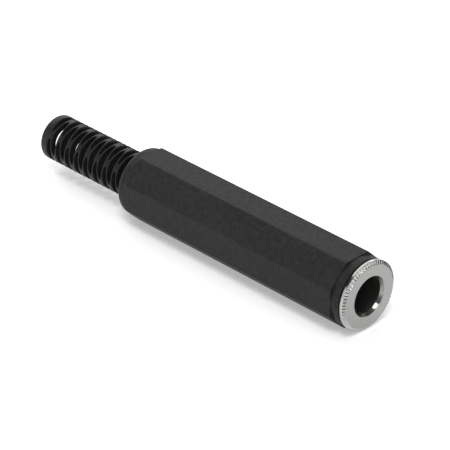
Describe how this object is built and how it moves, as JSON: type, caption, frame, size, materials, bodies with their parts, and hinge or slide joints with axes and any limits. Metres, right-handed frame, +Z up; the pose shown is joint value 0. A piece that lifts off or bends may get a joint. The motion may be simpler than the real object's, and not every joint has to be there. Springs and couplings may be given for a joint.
{
  "type": "in-line audio jack socket",
  "caption": "In-line socket for a quarter-inch audio jack plug: octagonal black barrel, knurled metal head and slotted bend relief for the cable.",
  "frame": {"origin": "centre of the mouth face, where the plug's shoulder seats", "axes": "+X out of the mouth along the jack bore, +Z up from the facet that it lies on, +Y completes a right-handed frame"},
  "size_m": [0.0719, 0.012, 0.012],
  "materials": {
    "nickel_plated_brass": "satin nickel plate, turned",
    "barrel_plastic": "matte moulded black",
    "relief_plastic": "soft glossy black",
    "plated_steel": "tin-plated sheet",
    "spring_metal": "spring bronze, bright",
    "laminate": "brown laminated board",
    "rivet_brass": "bright",
    "bush_plastic": "natural nylon"
  },
  "bodies": {
    "insert": {"head_bush": "nickel_plated_brass", "sleeve_frame": "plated_steel", "tip_wafer_inner": "laminate", "tip_wafer_outer": "laminate", "ring_wafer_inner": "laminate", "ring_wafer_outer": "laminate", "front_rivet": "rivet_brass", "rear_rivet": "rivet_brass", "front_rivet_bush": "bush_plastic", "rear_rivet_bush": "bush_plastic"},
    "tip_contact": {"tip_spring": "spring_metal"},
    "ring_contact": {"ring_spring": "spring_metal"},
    "relief": {"bend_relief": "relief_plastic"},
    "barrel": {"barrel": "barrel_plastic"}
  },
  "joints": [
    {"name": "barrel_draw", "type": "slide", "parent": "insert", "child": "relief", "axis": [-1, 0, 0], "range_m": [0, 0.0045]},
    {"name": "barrel_turn", "type": "hinge", "parent": "relief", "child": "barrel", "pos_m": [-0.025, 0, 0], "axis": [-1, 0, 0], "range_deg": [0, 1620]},
    {"name": "tip_flex", "type": "hinge", "parent": "insert", "child": "tip_contact", "pos_m": [-0.0349, 0, 0.00105], "axis": [0, -1, 0], "range_deg": [0, 9.5], "stiffness_Nm_per_rad": 0.3, "deforming": ["tip_spring"]},
    {"name": "ring_flex", "type": "hinge", "parent": "insert", "child": "ring_contact", "pos_m": [-0.0349, 0, -0.00105], "axis": [0, 1, 0], "range_deg": [0, 2], "stiffness_Nm_per_rad": 0.6, "deforming": ["ring_spring"]}
  ],
  "couplings": [
    {"joint": "barrel_draw", "follows": "barrel_turn", "m_per_rad": 0.00015915}
  ]
}
